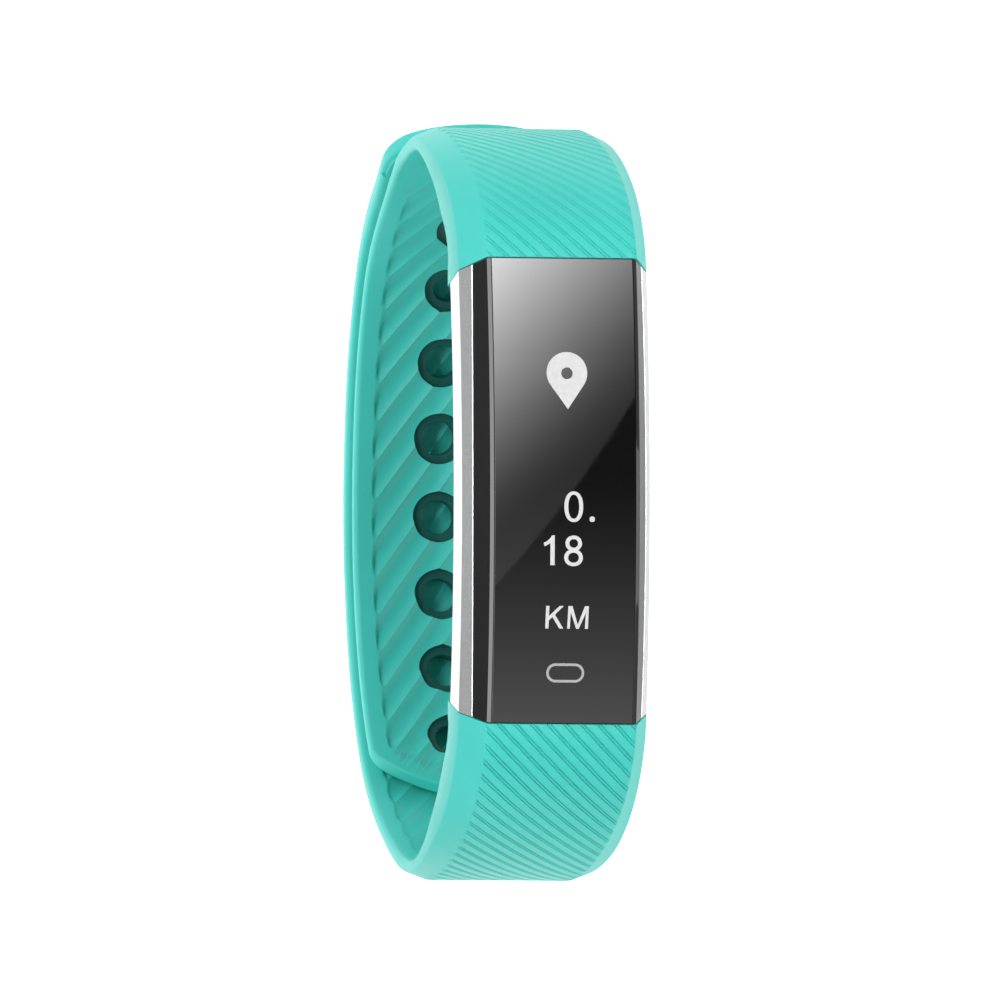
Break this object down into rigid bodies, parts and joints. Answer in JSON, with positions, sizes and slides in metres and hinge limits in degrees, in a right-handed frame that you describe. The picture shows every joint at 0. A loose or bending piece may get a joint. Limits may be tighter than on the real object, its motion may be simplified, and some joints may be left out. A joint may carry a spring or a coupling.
{
  "type": "fitness tracker band",
  "caption": "Slim wrist tracker: a pod with a bevelled black window, held between two ribbed flexible straps that overlap behind it and close with a pegged clasp.",
  "frame": {"origin": "centre of the flat at the back of the closed band, where it stands, under the middle of the pod", "axes": "+X across the band (strap width), +Y along the pod towards the strap with holes, +Z out of the window"},
  "size_m": [0.0156, 0.0618, 0.0453],
  "materials": {
    "strap": "satin",
    "lens": "polished",
    "silver": "satin",
    "dark_plastic": "satin",
    "gasket_rubber": "matte",
    "tape": "matte",
    "display_glass": "polished",
    "flex_film": "satin",
    "contact_gold": "polished",
    "board": "satin",
    "chip_black": "matte",
    "steel": "satin",
    "ceramic": "matte",
    "cell_foil": "satin",
    "weight_metal": "satin"
  },
  "bodies": {
    "pod": {"front_lens": "lens", "lens_adhesive": "tape", "housing": "silver", "seal_gasket": "gasket_rubber", "back_cover": "dark_plastic", "display_panel": "display_glass", "display_holder": "dark_plastic", "display_flex": "flex_film", "touch_pad": "contact_gold", "touch_spacer": "gasket_rubber", "main_board": "board", "bluetooth_chip": "chip_black", "flash_chip": "chip_black", "motion_sensor": "chip_black", "power_chip": "chip_black", "crystal": "steel", "chip_antenna": "ceramic", "battery": "cell_foil", "battery_tape": "tape", "battery_guard_board": "board", "motor_can": "steel", "motor_plate": "dark_plastic", "motor_shaft": "steel", "usb_tongue": "dark_plastic", "usb_contact_1": "contact_gold", "usb_contact_2": "contact_gold", "usb_contact_3": "contact_gold", "usb_contact_4": "contact_gold", "strap_lug": "dark_plastic", "peg_strap_socket": "strap", "hole_strap_socket": "strap"},
    "motor_weight": {"motor_rotor": "weight_metal"},
    "hole_strap": {"hole_strap_top": "strap", "hole_strap_upper": "strap", "hole_strap_tail": "strap"},
    "peg_strap_front_part": {"peg_strap_front": "strap"},
    "peg_strap_bottom_part": {"peg_strap_bottom": "strap"},
    "peg_strap_back_part": {"peg_strap_back": "strap"},
    "clasp_end": {"peg_strap_clasp_end": "strap", "clasp_plate": "steel", "clasp_peg_1": "steel", "clasp_peg_2": "steel"}
  },
  "joints": [
    {"name": "peg_strap_root_flex", "type": "hinge", "parent": "pod", "child": "peg_strap_front_part", "pos_m": [0, -0.02878, 0.03389], "axis": [-1, 0, 0], "range_deg": [0, 14]},
    {"name": "peg_strap_bottom_flex", "type": "hinge", "parent": "peg_strap_front_part", "child": "peg_strap_bottom_part", "pos_m": [0, -0.02863, 0.0151], "axis": [-1, 0, 0], "range_deg": [0, 24]},
    {"name": "peg_strap_back_flex", "type": "hinge", "parent": "peg_strap_bottom_part", "child": "peg_strap_back_part", "pos_m": [0, 0.00778, 0.00055], "axis": [-1, 0, 0], "range_deg": [0, 48]},
    {"name": "clasp_end_flex", "type": "hinge", "parent": "peg_strap_back_part", "child": "clasp_end", "pos_m": [0, 0.01981, 0.0044], "axis": [-1, 0, 0], "range_deg": [0, 60]},
    {"name": "hole_strap_root_flex", "type": "hinge", "parent": "pod", "child": "hole_strap", "pos_m": [0, 0.0288, 0.03281], "axis": [1, 0, 0], "range_deg": [0, 24]},
    {"name": "motor_spin", "type": "hinge", "parent": "pod", "child": "motor_weight", "pos_m": [0, -0.011, 0.0373], "axis": [0, 0, 1], "continuous": true}
  ],
  "couplings": [
    {"joint": "peg_strap_root_flex", "follows": "peg_strap_back_flex", "ratio": 0.29167},
    {"joint": "peg_strap_bottom_flex", "follows": "peg_strap_back_flex", "ratio": 0.5},
    {"joint": "clasp_end_flex", "follows": "peg_strap_back_flex", "ratio": 1.25},
    {"joint": "hole_strap_root_flex", "follows": "peg_strap_back_flex", "ratio": 0.5}
  ]
}
